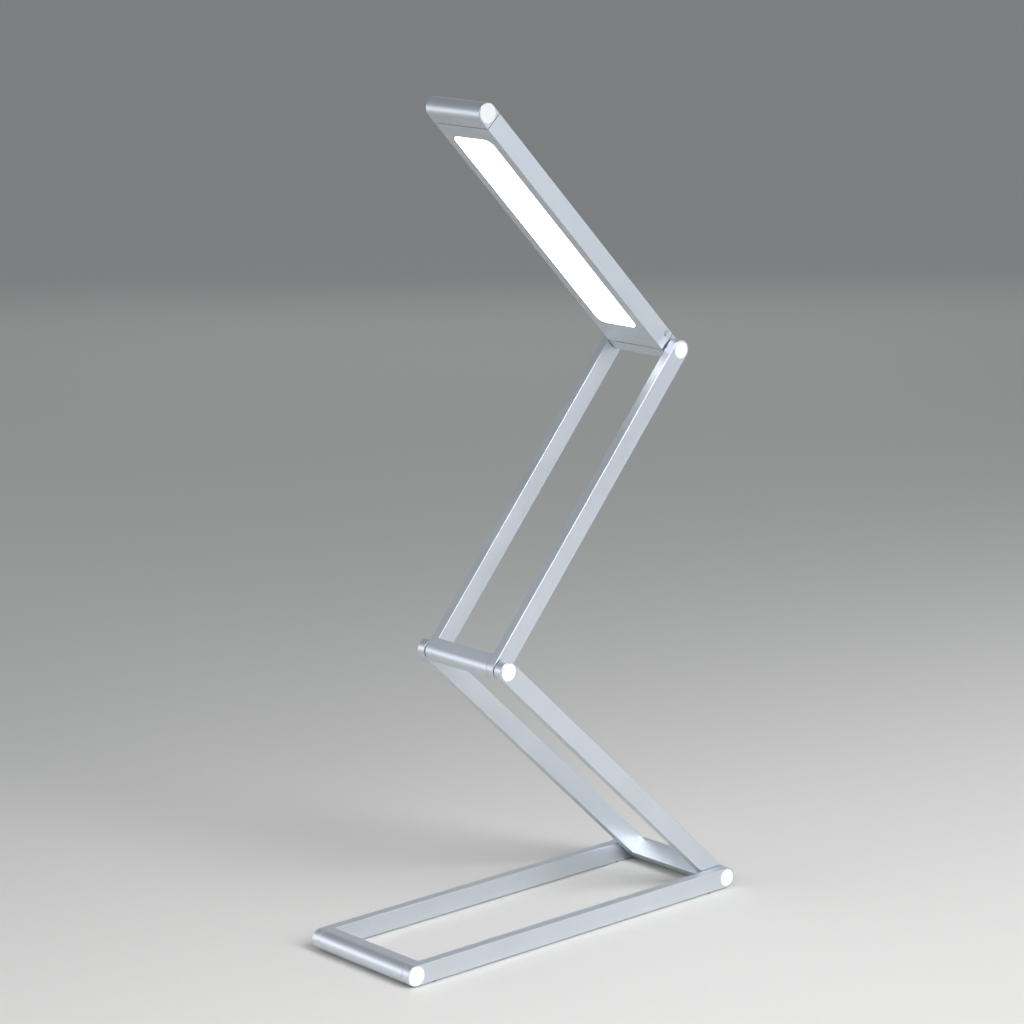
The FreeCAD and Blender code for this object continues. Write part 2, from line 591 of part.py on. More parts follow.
def make_feet():
    """Four rubber pads in the sockets under the base rails: the only things that touch the desk."""
    feet = []
    middle = f"({HALF_WIDTH['base']} - Sizes.rail_thickness / 2)"
    places = {"front": "Sizes.foot_inset", "hinge": f"{LENGTH['base']} - Sizes.foot_inset"}
    for end, x in places.items():
        for side in (LEFT, RIGHT):
            foot = DOC.addObject("Part::Cylinder", f"foot_{end}_{SIDE_NAMES[side]}")
            bind(foot, Radius="Sizes.foot_radius", Height="Sizes.foot_lift + Sizes.foot_socket")
            foot.setExpression("Placement.Base.x", x)
            foot.setExpression("Placement.Base.y", f"{side} * {middle}")
            foot.setExpression("Placement.Base.z", f"-{END_RADIUS} - Sizes.foot_lift")
            feet.append(foot)
    stands_in(group("feet", feet), "base", "rubber_feet")


# ---- the head's outside ----

def make_end_bar(label, centre, facing):
    """A nosed bar across the whole head, with a tongue that goes into the head's body."""
    bar = make_nosed_bar(label, "head", HALF_WIDTH["head"], centre, facing, with_dowels=False)
    root = f"({centre} + {facing} * Sizes.bar_seam)"
    tongue = sketch_on(bar, "tongue", "YZ_Plane", root)
    half = f"({HALF_WIDTH['head']} - Sizes.tongue_margin)"
    back = f"{COVER_INSIDE} + Sizes.slide_gap"
    draw_rectangle(tongue, f"-{half}", half, back, f"{FLOOR_INSIDE} - Sizes.slide_gap")
    pad(bar, tongue, "Sizes.tongue_length", backwards=facing == BACK)
    holes = sketch_on(bar, "screw_holes", "XY_Plane", back)
    guess_x = 10 if facing == AWAY else 190
    for side in (LEFT, RIGHT):
        place = (cover_screw_x(centre, facing), f"{side} * Sizes.cover_screw_spacing / 2")
        draw_circle(holes, *place, "Sizes.cover_screw_radius + Sizes.press_gap", (guess_x, side * 10))
    depth = "Sizes.cover_screw_length - Sizes.cover_thickness"
    pocket(bar, holes, depth, along_normal=True)
    return bar


def cover_screw_x(centre, facing):
    """The screws go through the middle of the tongues."""
    return f"({centre} + {facing} * (Sizes.bar_seam + Sizes.tongue_length / 2))"


def add_tip_recesses(bar):
    """Shallow recesses for the white caps in both ends of the tip bar."""
    for side in (LEFT, RIGHT):
        recess = sketch_on(bar, "cap_recess", "XZ_Plane", f"{-side} * {HALF_WIDTH['head']}")
        draw_circle(recess, "Sizes.head_length", "0", "Sizes.bar_cap_radius + Sizes.press_gap", (200, 0))
        pocket(bar, recess, CAP_DEPTH, along_normal=side == LEFT)


def make_housing():
    """The head's body: a shallow channel with the lit window in its floor, open at both ends."""
    body = DOC.addObject("PartDesign::Body", "head_housing")
    outline = sketch_on(body, "outline", "XY_Plane")
    half = HALF_WIDTH["head"]
    draw_rectangle(outline, HOUSING_START, HOUSING_END, f"-{half}", half)
    block = pad(body, outline, "Sizes.bar_height", symmetric=True)
    round_edges(body, block, "Sizes.edge_round", lambda edge: spans(edge, 0))

    lip = f"({half} - Sizes.cover_lip)"
    rebate = sketch_on(body, "cover_rebate", "XY_Plane", COVER_OUTSIDE)
    draw_rectangle(rebate, HOUSING_START, HOUSING_END, f"-{lip}", lip)
    pocket(body, rebate, "Sizes.cover_thickness", along_normal=True)
    inside = sketch_on(body, "inside", "XY_Plane", COVER_OUTSIDE)
    draw_rectangle(inside, HOUSING_START, HOUSING_END, f"-{HOUSING_HALF_INSIDE}", HOUSING_HALF_INSIDE)
    pocket(body, inside, "Sizes.bar_height - Sizes.housing_floor", along_normal=True)
    window = sketch_on(body, "window", "XY_Plane", FLOOR_INSIDE)
    draw_rectangle(window, "Sizes.lit_start", WINDOW_END, f"-{WINDOW_HALF}", WINDOW_HALF)
    opening = pocket(body, window, "Sizes.housing_floor", along_normal=True)
    DOC.recompute()
    wall_top = opening.Shape.BoundBox.ZMax

    def is_window_corner(edge):
        beside_wall = abs(edge.CenterOfMass.y) > 0.9 * opening.Shape.BoundBox.YMax
        return spans(edge, 2) and edge.BoundBox.ZMax > wall_top - 0.01 and not beside_wall

    round_edges(body, opening, "Sizes.lit_corner", is_window_corner)

    button_hole = sketch_on(body, "button_hole", "XZ_Plane", half)
    radius = "Sizes.button_radius + Sizes.button_hole_gap"
    draw_circle(button_hole, "Sizes.button_x", "-Sizes.button_back", radius, (10, -3))
    pocket(body, button_hole, "Sizes.housing_wall", along_normal=False)
    port_hole = sketch_on(body, "port_hole", "XZ_Plane", f"-{half}")
    draw_port(port_hole, "Sizes.port_gap")
    pocket(body, port_hole, "Sizes.housing_wall", along_normal=True)
    stands_in(body, "head", "head_housing")


def cover_screw(name, x, side, grow, length):
    """A countersunk screw, or with grow the hole for one: head at the cover's outside."""
    y = f"{side} * Sizes.cover_screw_spacing / 2"
    head = DOC.addObject("Part::Cone", f"{name}_head")
    bind(head, Radius1=f"Sizes.cover_screw_head + {grow}", Radius2=f"Sizes.cover_screw_radius + {grow}")
    bind(head, Height="Sizes.cover_screw_sink")
    shank = DOC.addObject("Part::Cylinder", f"{name}_shank")
    bind(shank, Radius=f"Sizes.cover_screw_radius + {grow}", Height=length)
    for solid in (head, shank):
        solid.setExpression("Placement.Base.x", x)
        solid.setExpression("Placement.Base.y", y)
        solid.setExpression("Placement.Base.z", COVER_OUTSIDE)
    return fuse(name, [head, shank])


def make_cover_and_screws():
    """The plate on the head's back, held by four countersunk screws into the tongues."""
    ends = {"hinge": cover_screw_x("0", AWAY), "tip": cover_screw_x("Sizes.head_length", BACK)}
    screws = []
    holes = []
    for end, x in ends.items():
        for side in (LEFT, RIGHT):
            name = f"cover_{end}_{SIDE_NAMES[side]}"
            blank = cover_screw(f"{name}_blank", x, side, "0", "Sizes.cover_screw_length")
            socket = DOC.addObject("Part::Prism", f"{name}_socket")
            socket.Polygon = 6
            bind(socket, Circumradius="Sizes.cover_key_radius", Height="Sizes.cover_key_depth")
            socket.setExpression("Placement.Base.x", x)
            socket.setExpression("Placement.Base.y", f"{side} * Sizes.cover_screw_spacing / 2")
            socket.setExpression("Placement.Base.z", COVER_OUTSIDE)
            screws.append(cut(f"{name}_screw", blank, socket))
            holes.append(cover_screw(f"{name}_hole", x, side, "Sizes.press_gap", "Sizes.cover_thickness"))
    half = f"({HALF_WIDTH['head']} - Sizes.cover_lip - Sizes.slide_gap)"
    plate = box("cover_plate", HOUSING_START, HOUSING_END, f"-{half}", half, COVER_OUTSIDE, COVER_INSIDE)
    stands_in(cut("cover", plate, fuse("cover_holes", holes)), "head", "head_cover")
    stands_in(group("cover_screws", screws), "head", "head_cover_screws")


# ---- light, battery, driver, socket and switch inside the head ----

def make_diffuser():
    """Opal plate: a flange laid on the floor inside, and a raised field that fills the window."""
    body = DOC.addObject("PartDesign::Body", "diffuser")
    field = sketch_on(body, "field", "XY_Plane", FLOOR_INSIDE)
    half = f"({WINDOW_HALF} - Sizes.running_gap)"
    start = "Sizes.lit_start + Sizes.running_gap"
    draw_rectangle(field, start, f"{WINDOW_END} - Sizes.running_gap", f"-{half}", half)
    raised = pad(body, field, "Sizes.housing_floor")
    corner = "Sizes.lit_corner - Sizes.running_gap"
    round_edges(body, raised, corner, lambda edge: spans(edge, 2))
    flange = sketch_on(body, "flange", "XY_Plane", FLANGE_BACK)
    wide = f"({HOUSING_HALF_INSIDE} - Sizes.slide_gap)"
    draw_rectangle(flange, FLANGE_START, FLANGE_END, f"-{wide}", wide)
    pad(body, flange, "Sizes.diffuser_flange")
    stands_in(body, "head", "diffuser")


def make_reflector():
    """White frame that holds the light board off the diffuser."""
    wide = f"({HOUSING_HALF_INSIDE} - Sizes.slide_gap)"
    outside = box("reflector_outside", FLANGE_START, FLANGE_END, f"-{wide}", wide, LIGHT_BOARD_FRONT, FLANGE_BACK)
    lit = ("Sizes.lit_start", WINDOW_END, f"-{WINDOW_HALF}", WINDOW_HALF)
    inside = box("reflector_inside", *lit, LIGHT_BOARD_FRONT, FLANGE_BACK)
    stands_in(cut("reflector", outside, inside), "head", "reflector_frame")


def make_light_board():
    """Aluminium-backed board with two rows of lights that face the diffuser."""
    wide = f"({HOUSING_HALF_INSIDE} - Sizes.slide_gap)"
    across = (f"-{wide}", wide)
    box_in_head("led_board", FLANGE_START, FLANGE_END, *across, LIGHT_BOARD_BACK, LIGHT_BOARD_FRONT)
    field = SHEET.head_length - SHEET.lit_start - SHEET.lit_end
    per_row = int(field / SHEET.light_pitch)
    lights = []
    for number in range(per_row):
        for side in (LEFT, RIGHT):
            middle = f"((Sizes.lit_start + {WINDOW_END}) / 2 + ({number} - {per_row - 1} / 2) * Sizes.light_pitch)"
            row = f"({side} * Sizes.light_row_gap / 2)"
            x_range = (f"{middle} - Sizes.light_length / 2", f"{middle} + Sizes.light_length / 2")
            y_range = (f"{row} - Sizes.light_width / 2", f"{row} + Sizes.light_width / 2")
            front = f"{LIGHT_BOARD_FRONT} + Sizes.light_height"
            name = f"light_{SIDE_NAMES[side]}_{number}"
            lights.append(box(name, *x_range, *y_range, LIGHT_BOARD_FRONT, front))
    stands_in(group("lights", lights), "head", "led_chips")


def make_battery():
    """Flat battery stuck to the back of the light board, and its two leads."""
    half = "Sizes.battery_width / 2"
    front = f"{LIGHT_BOARD_BACK} - Sizes.slide_gap"
    end = "Sizes.battery_start + Sizes.battery_length"
    back = f"{front} - Sizes.battery_thickness"
    box_in_head("battery_pack", "Sizes.battery_start", end, f"-{half}", half, back, front)
    leads = []
    board_end = "(Sizes.driver_start + Sizes.driver_length)"
    for side in (LEFT, RIGHT):
        lead = DOC.addObject("Part::Cylinder", f"lead_{SIDE_NAMES[side]}")
        lead.Placement = Placement(Vector(), Rotation(Vector(0, 1, 0), 90))
        length = f"Sizes.battery_start - {board_end} + Sizes.lead_overlap"
        bind(lead, Radius="Sizes.lead_radius", Height=length)
        lead.setExpression("Placement.Base.x", f"{board_end} - Sizes.lead_overlap")
        lead.setExpression("Placement.Base.y", f"{side} * Sizes.lead_spacing / 2")
        lead.setExpression("Placement.Base.z", f"{DRIVER_FRONT} + Sizes.lead_radius + Sizes.press_gap")
        leads.append(lead)
    stands_in(group("leads", leads), "head", "battery_leads")


def make_driver():
    """The driver board beside the head's hinge, with its coil and its control chip."""
    wide = f"({HOUSING_HALF_INSIDE} - Sizes.slide_gap)"
    end = "Sizes.driver_start + Sizes.driver_length"
    back = f"{DRIVER_FRONT} - Sizes.board_thickness"
    box_in_head("driver_board", "Sizes.driver_start", end, f"-{wide}", wide, back, DRIVER_FRONT)
    coil = ("inductor_x", "inductor_y", "inductor_size", "inductor_size", "driver_component_height")
    add_component("driver_inductor", *coil)
    add_component("control_chip", "chip_x", "chip_y", "chip_length", "chip_width", "chip_height")


def add_component(label, x, y, length, width, height):
    """A component that stands on the driver board, its middle at the named place."""
    x_range = (f"Sizes.{x} - Sizes.{length} / 2", f"Sizes.{x} + Sizes.{length} / 2")
    y_range = (f"Sizes.{y} - Sizes.{width} / 2", f"Sizes.{y} + Sizes.{width} / 2")
    box_in_head(label, *x_range, *y_range, DRIVER_FRONT, f"{DRIVER_FRONT} + Sizes.{height}")


def draw_port(sketch, grow):
    """The socket's outline, larger by grow all round, on the driver board's front."""
    length = "Sizes.port_width - Sizes.port_height"
    middle = f"{DRIVER_FRONT} + Sizes.port_height / 2 + Sizes.press_gap"
    start = f"Sizes.port_x - ({length}) / 2"
    draw_slot(sketch, start, middle, length, f"Sizes.port_height / 2 + {grow}", (15, -2))


def make_charging_socket():
    """A metal-shelled socket with its contact blade, its mouth in the left side wall."""
    body = DOC.addObject("PartDesign::Body", "charging_socket")
    mouth = f"({HALF_WIDTH['head']} - Sizes.port_wall)"
    shell = sketch_on(body, "shell", "XZ_Plane", f"-{mouth}")
    draw_port(shell, "0")
    pad(body, shell, "Sizes.port_depth")
    inside = sketch_on(body, "inside", "XZ_Plane", f"-{mouth}")
    draw_port(inside, "-Sizes.port_wall")
    pocket(body, inside, "Sizes.port_depth - Sizes.port_wall", along_normal=True)
    blade = sketch_on(body, "blade", "XZ_Plane", f"-({mouth} - Sizes.port_depth + Sizes.port_wall)")
    middle = f"({DRIVER_FRONT} + Sizes.port_height / 2 + Sizes.press_gap)"
    half_width = "Sizes.port_blade_width / 2"
    half_blade = "Sizes.port_blade / 2"
    draw_rectangle(blade, f"Sizes.port_x - {half_width}", f"Sizes.port_x + {half_width}",
                   f"{middle} - {half_blade}", f"{middle} + {half_blade}")
    pad(body, blade, "Sizes.port_blade_length", backwards=True)
    stands_in(body, "head", "charging_socket")


def make_button():
    """The switch button in the right side wall: a short pin with a flange inside."""
    wall_inside = HOUSING_HALF_INSIDE
    flange_end = f"({wall_inside} - Sizes.running_gap)"
    flange_start = f"({flange_end} - Sizes.button_flange_thickness)"
    outside = f"({HALF_WIDTH['head']} + Sizes.button_proud)"
    pin = cylinder("button_pin", "Sizes.button_radius", flange_start, outside, "Sizes.button_x")
    flange = cylinder("button_flange", "Sizes.button_flange_radius", flange_start, flange_end, "Sizes.button_x")
    button = fuse("button", [pin, flange])
    for solid in (pin, flange):
        solid.setExpression("Placement.Base.z", "-Sizes.button_back")
    on_right(button, "switch_button")


def make_switch():
    """The switch behind the button: a square body with a plunger on a small upright board."""
    flange_start = f"({HOUSING_HALF_INSIDE} - Sizes.running_gap - Sizes.button_flange_thickness)"
    plunger_end = f"({flange_start} - Sizes.button_travel - Sizes.running_gap)"
    plunger_start = f"({plunger_end} - Sizes.switch_board / 2)"
    body_start = f"({plunger_start} - Sizes.switch_depth)"
    board_start = f"({body_start} - Sizes.switch_board)"
    half = "Sizes.switch_size / 2"
    x_range = (f"Sizes.button_x - {half}", f"Sizes.button_x + {half}")
    z_range = (f"-Sizes.button_back - {half}", f"-Sizes.button_back + {half}")
    body = box("switch_body", *x_range, body_start, plunger_start, *z_range)
    plunger = cylinder("switch_plunger", f"{half} / 2", plunger_start, plunger_end, "Sizes.button_x")
    plunger.setExpression("Placement.Base.z", "-Sizes.button_back")
    board_half = "Sizes.switch_board_width / 2"
    low = f"{COVER_INSIDE} + Sizes.slide_gap"
    high = f"{FLOOR_INSIDE} - Sizes.slide_gap"
    low_x = f"Sizes.button_x - {board_half} - Sizes.slide_gap"
    board = box("switch_plate", low_x, f"Sizes.driver_start - Sizes.slide_gap", board_start, body_start, low, high)
    on_right(fuse("switch", [body, plunger, board]), "tactile_switch")


def on_right(solid, label):
    """Mirrors a solid that was drawn on the left side to the right side."""
    twin = DOC.addObject("Part::Mirroring", f"{label}_mirrored")
    twin.Source = solid
    twin.Normal = Vector(0, 1, 0)
    stands_in(twin, "head", label)


def make_head():
    """End bars, body, cover and all that the head holds."""
    make_end_bar("head_hinge_bar", "0", AWAY)
    add_tip_recesses(make_end_bar("head_tip_bar", "Sizes.head_length", BACK))
    make_caps("head_tip_caps", "head", "Sizes.bar_cap_radius", "Sizes.head_length")
    make_housing()
    make_cover_and_screws()
    make_diffuser()
    make_reflector()
    make_light_board()
    make_battery()
    make_driver()
    make_charging_socket()
    make_button()
    make_switch()


# ---- checks and files ----

def check_document():
    """Stops if a feature failed, a cut removed nothing or a sub-part's shape is unsound."""
    for item in DOC.Objects:
        if "Invalid" in item.State or "Error" in item.State:
            raise RuntimeError(f"{item.Label} failed: {item.State}")
    for feature in CUTS:
        removed = feature.BaseFeature.Shape.Volume - feature.Shape.Volume
        if removed < 0.01:
            raise RuntimeError(f"{feature.Label} of {feature.BaseFeature.Label} cut nothing")
    for item in SUB_PARTS:
        if item.Shape.isNull() or not item.Shape.isValid():
            raise RuntimeError(f"{item.Label} has no sound shape")


def write_parts():
    """Writes each sub-part to its own file and prints its volume."""
    os.makedirs("parts", exist_ok=True)
    for item in SUB_PARTS:
        item.Shape.exportStep(f"parts/{item.Label}.step")
        print(f"{item.Label}: {len(item.Shape.Solids)} solids, {item.Shape.Volume:.1f} mm3")


fill_sheet()
for open_frame in ("base", "lower_arm", "upper_arm"):
    make_open_frame(open_frame)
make_bar_screws()
make_caps("base_bar_caps", "base", "Sizes.bar_cap_radius", "0")
make_feet()
make_hinge("base_hinge", "base", "lower_arm", f"({INNER_HALF_WIDTH['lower_arm']} - Sizes.thread_in_bar)")
make_hinge("mid_hinge", "lower_arm", "upper_arm", f"({INNER_HALF_WIDTH['upper_arm']} - Sizes.thread_in_bar)")
make_hinge("head_hinge", "upper_arm", "head", f"({HALF_WIDTH['head']} - Sizes.thread_in_bar)")
make_head()
DOC.recompute()
check_document()
write_parts()
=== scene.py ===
import json
import math

import bpy
import numpy as np
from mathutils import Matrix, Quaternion, Vector


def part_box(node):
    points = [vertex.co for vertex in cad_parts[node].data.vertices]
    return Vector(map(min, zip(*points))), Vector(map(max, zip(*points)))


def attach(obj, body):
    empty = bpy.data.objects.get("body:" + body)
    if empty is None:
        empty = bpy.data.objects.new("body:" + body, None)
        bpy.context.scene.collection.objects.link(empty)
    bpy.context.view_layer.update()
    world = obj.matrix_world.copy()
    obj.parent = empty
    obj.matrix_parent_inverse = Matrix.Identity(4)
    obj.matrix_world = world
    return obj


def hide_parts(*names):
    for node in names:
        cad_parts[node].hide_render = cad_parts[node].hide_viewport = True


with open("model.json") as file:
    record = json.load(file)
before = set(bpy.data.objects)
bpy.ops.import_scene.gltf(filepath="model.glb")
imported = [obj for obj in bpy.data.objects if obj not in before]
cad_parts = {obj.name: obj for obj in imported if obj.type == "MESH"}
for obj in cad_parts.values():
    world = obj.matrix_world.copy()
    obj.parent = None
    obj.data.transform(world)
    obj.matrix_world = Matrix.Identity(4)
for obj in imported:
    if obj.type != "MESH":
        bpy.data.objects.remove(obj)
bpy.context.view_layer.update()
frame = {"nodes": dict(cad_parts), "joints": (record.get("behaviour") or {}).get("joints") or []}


# ---- Base, lower arm and upper arm: rails and crossbars ----
# Each frame is two flat bars with round ends and a D-shaped crossbar between them, cut from extruded
# 6063 aluminium. They are bead-blasted and clear anodised: pale silver, satin, with no mirror image.

def linear(hex_colour, alpha=1.0):
    """Turns an sRGB hex colour into the linear one that a shader works with."""
    parts = [int(hex_colour[start:start + 2], 16) / 255 for start in (1, 3, 5)]
    curve = [part / 12.92 if part <= 0.04045 else ((part + 0.055) / 1.055) ** 2.4 for part in parts]
    return (*curve, alpha)


def new_material(name):
    """An empty node material with its output, ready for a shader."""
    material = bpy.data.materials.new(name)
    material.use_nodes = True
    material.node_tree.nodes.clear()
    material.node_tree.nodes.new("ShaderNodeOutputMaterial").name = "Output"
    return material


def add(material, kind, inputs, **settings):
    """Adds a node with its settings; each input is a value, or the socket it is linked from."""
    node = material.node_tree.nodes.new(kind)
    for name, value in settings.items():
        setattr(node, name, value)
    for name, value in inputs.items():
        if isinstance(value, bpy.types.NodeSocket):
            material.node_tree.links.new(value, node.inputs[name])
        else:
            node.inputs[name].default_value = value
    return node


def finish_with(material, shader):
    """Links a shader to the material's output."""
    output = material.node_tree.nodes["Output"]
    material.node_tree.links.new(shader.outputs[0], output.inputs["Surface"])
    return material


# Where a Mix node has its two colours and its result, which share their names with other sockets.
MIX_FIRST = 6
MIX_SECOND = 7
MIX_RESULT = 2


def dress(material, *names):
    """Gives carried-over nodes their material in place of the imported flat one."""
    for name in names:
        for slot in frame["nodes"][name].material_slots:
            slot.material = material


# Hinge axes at rest, and the two ends of each frame's long side.
hinge = {joint["name"]: Vector(joint["pos_m"]) for joint in frame["joints"] if "pos_m" in joint}
tip_low, tip_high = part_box("head_tip_caps")
tip_axis = Vector(((tip_low.x + tip_high.x) / 2, 0, (tip_low.z + tip_high.z) / 2))
long_sides = {
    "base": (hinge["base_hinge"], Vector((0, 0, hinge["base_hinge"].z))),
    "lower_arm": (hinge["base_hinge"], hinge["mid_hinge"]),
    "upper_arm": (hinge["mid_hinge"], hinge["head_hinge"]),
    "head": (hinge["head_hinge"], tip_axis),
}


def anodised_aluminium(body):
    """Satin silver. The lines left by the extrusion run along the frame's own long side."""
    material = new_material(f"anodised_aluminium_{body}")
    start, end = long_sides[body]
    lean = math.atan2(end.z - start.z, end.x - start.x)
    place = add(material, "ShaderNodeTexCoord", {}).outputs["Object"]
    # Extrusion lines are about 0.1 mm apart; they are drawn 0.5 mm apart and 60 mm long, to show at all.
    along = add(material, "ShaderNodeMapping", {
        "Vector": place,
        "Location": start,
        "Rotation": (0, -lean, 0),
        "Scale": (0.060, 0.0005, 0.0005),
    }, vector_type="TEXTURE")
    lines = add(material, "ShaderNodeTexNoise", {"Vector": along.outputs[0], "Scale": 1, "Detail": 2})
    # The blasting leaves dents of about 0.1 mm; they are drawn 0.4 mm wide.
    dents = add(material, "ShaderNodeTexNoise", {"Vector": place, "Scale": 1 / 0.0004, "Detail": 1})
    # The anodising bath leaves the tone a little uneven over about 40 mm.
    clouds = add(material, "ShaderNodeTexNoise", {"Vector": place, "Scale": 1 / 0.040, "Detail": 2})
    colour = add(material, "ShaderNodeMix", {
        "Factor": clouds.outputs["Fac"], MIX_FIRST: linear("#d3d8de"), MIX_SECOND: linear("#dde2e8"),
    }, data_type="RGBA")
    # The bath's clouds and the lines together make the satin a little uneven.
    uneven = add(material, "ShaderNodeMath", {
        0: clouds.outputs["Fac"], 1: lines.outputs["Fac"],
    }, operation="ADD")
    roughness = add(material, "ShaderNodeMapRange", {
        "Value": uneven.outputs[0],
        "From Min": 0.6,
        "From Max": 1.4,
        "To Min": 0.42,
        "To Max": 0.50,
    })
    line_height = 0.6
    relief = add(material, "ShaderNodeMath", {
        0: lines.outputs["Fac"], 1: line_height, 2: dents.outputs["Fac"],
    }, operation="MULTIPLY_ADD")
    bump = add(material, "ShaderNodeBump", {
        "Height": relief.outputs[0], "Strength": 0.25, "Distance": 0.00002,
    })
    return finish_with(material, add(material, "ShaderNodeBsdfPrincipled", {
        "Base Color": colour.outputs[MIX_RESULT],
        "Metallic": 1.0,
        "Roughness": roughness.outputs[0],
        "Normal": bump.outputs[0],
    }))


for body in ("base", "lower_arm", "upper_arm"):
    dress(anodised_aluminium(body), f"{body}_crossbar", f"{body}_rail_left", f"{body}_rail_right")


# ---- Dowels, screws and friction washers ----
# Turned from steel wire and bar, zinc-plated. They sit under the caps and between the frames, and only
# the washers' edges and the cover's screw heads ever see light: bluish grey, with fine turning rings.

def zinc_plated_steel():
    """Bluish grey metal, a little blotchy where the plating took unevenly."""
    material = new_material("zinc_plated_steel")
    place = add(material, "ShaderNodeTexCoord", {}).outputs["Object"]
    # Blotches of the plating, about 2 mm across, and turning marks of about 0.2 mm.
    blotches = add(material, "ShaderNodeTexNoise", {"Vector": place, "Scale": 1 / 0.002, "Detail": 3})
    marks = add(material, "ShaderNodeTexNoise", {"Vector": place, "Scale": 1 / 0.0002, "Detail": 1})
    colour = add(material, "ShaderNodeMix", {
        "Factor": blotches.outputs["Fac"], MIX_FIRST: linear("#9aa0a8"), MIX_SECOND: linear("#b9bdc4"),
    }, data_type="RGBA")
    roughness = add(material, "ShaderNodeMapRange", {
        "Value": blotches.outputs["Fac"],
        "From Min": 0.3,
        "From Max": 0.7,
        "To Min": 0.24,
        "To Max": 0.36,
    })
    bump = add(material, "ShaderNodeBump", {
        "Height": marks.outputs["Fac"], "Strength": 0.2, "Distance": 0.00001,
    })
    return finish_with(material, add(material, "ShaderNodeBsdfPrincipled", {
        "Base Color": colour.outputs[MIX_RESULT],
        "Metallic": 1.0,
        "Roughness": roughness.outputs[0],
        "Normal": bump.outputs[0],
    }))


steel = zinc_plated_steel()
dress(steel, "base_dowels", "lower_arm_dowels", "upper_arm_dowels", "base_bar_screws")
dress(steel, "base_hinge_screws", "mid_hinge_screws", "head_hinge_screws")
dress(steel, "base_hinge_washers", "mid_hinge_washers", "head_hinge_washers")


# ---- Hinge bushes ----
# Flanged sleeves of nylon, injection moulded and pressed into the rails' far ends. Their flanges fill
# the gap between two rails, and their near-black is painted shade for that gap: a dark line, dull and
# slightly waxy.

def black_nylon():
    """Plastic with the fine grain of the mould; its near-black is painted shade for the gap between the
    rails.
    """
    material = new_material("black_nylon")
    place = add(material, "ShaderNodeTexCoord", {}).outputs["Object"]
    # Spark-eroded mould grain, 0.15 mm.
    grain = add(material, "ShaderNodeTexNoise", {"Vector": place, "Scale": 1 / 0.00015, "Detail": 2})
    # Painted shade: the near-black stands in for the shade in the gap between two rails.
    colour = add(material, "ShaderNodeMix", {
        "Factor": grain.outputs["Fac"], MIX_FIRST: linear("#1b1b1d"), MIX_SECOND: linear("#29292b"),
    }, data_type="RGBA")
    bump = add(material, "ShaderNodeBump", {
        "Height": grain.outputs["Fac"], "Strength": 0.3, "Distance": 0.00002,
    })
    return finish_with(material, add(material, "ShaderNodeBsdfPrincipled", {
        "Base Color": colour.outputs[MIX_RESULT],
        "IOR": 1.53,
        "Roughness": 0.5,
        "Normal": bump.outputs[0],
    }))


dress(black_nylon(), "base_hinge_bushes", "mid_hinge_bushes", "head_hinge_bushes")


# ---- Caps over the screws ----
# Round discs of white ABS, injection moulded and pressed into the rails and the tip bar. They stand
# 0.3 mm proud, with a rolled rim and a face that is dished by a hair: bright white, half gloss.

ROUND_STEPS = 64


def turned_piece(name, profile, places):
    """A closed surface of revolution, once for each place (centre, first, second, outward).
    point = centre + radius * (cos a * first + sin a * second) + height * outward, with the angle a
    once round and (radius, height) along the profile. The profile's ends, of radius 0, are one point
    each. first x second = outward, so all faces point outwards."""
    profile = np.array(profile, float)
    rings = profile[1:-1]
    angle = np.arange(ROUND_STEPS) * 2 * np.pi / ROUND_STEPS
    flat = np.zeros((len(rings), ROUND_STEPS, 3))
    flat[..., 0] = rings[:, None, 0] * np.cos(angle)
    flat[..., 1] = rings[:, None, 0] * np.sin(angle)
    flat[..., 2] = rings[:, None, 1]
    poles = np.array([[0, 0, profile[0, 1]], [0, 0, profile[-1, 1]]])
    local = np.concatenate([flat.reshape(-1, 3), poles])

    ring, step = np.meshgrid(np.arange(len(rings) - 1), np.arange(ROUND_STEPS), indexing="ij")
    after = (step + 1) % ROUND_STEPS
    low, high = ring * ROUND_STEPS, (ring + 1) * ROUND_STEPS
    quads = np.stack([low + step, low + after, high + after, high + step], axis=-1).reshape(-1, 4)
    step = np.arange(ROUND_STEPS)
    after = (step + 1) % ROUND_STEPS
    first_pole = np.full(ROUND_STEPS, len(local) - 2)
    last_pole = np.full(ROUND_STEPS, len(local) - 1)
    last_ring = (len(rings) - 1) * ROUND_STEPS
    fans = np.concatenate([
        np.stack([first_pole, after, step], axis=-1),
        np.stack([last_pole, last_ring + step, last_ring + after], axis=-1),
    ])

    points, faces = [], []
    for number, (centre, first, second, outward) in enumerate(places):
        points.append(np.array(centre) + local @ np.array([first, second, outward], float))
        shift = number * len(local)
        faces += (quads + shift).tolist() + (fans + shift).tolist()
    mesh = bpy.data.meshes.new(name)
    mesh.from_pydata(np.concatenate(points).tolist(), [], faces)
    mesh.shade_smooth()
    piece = bpy.data.objects.new(name, mesh)
    bpy.context.scene.collection.objects.link(piece)
    return piece


X, Y, Z = np.eye(3)


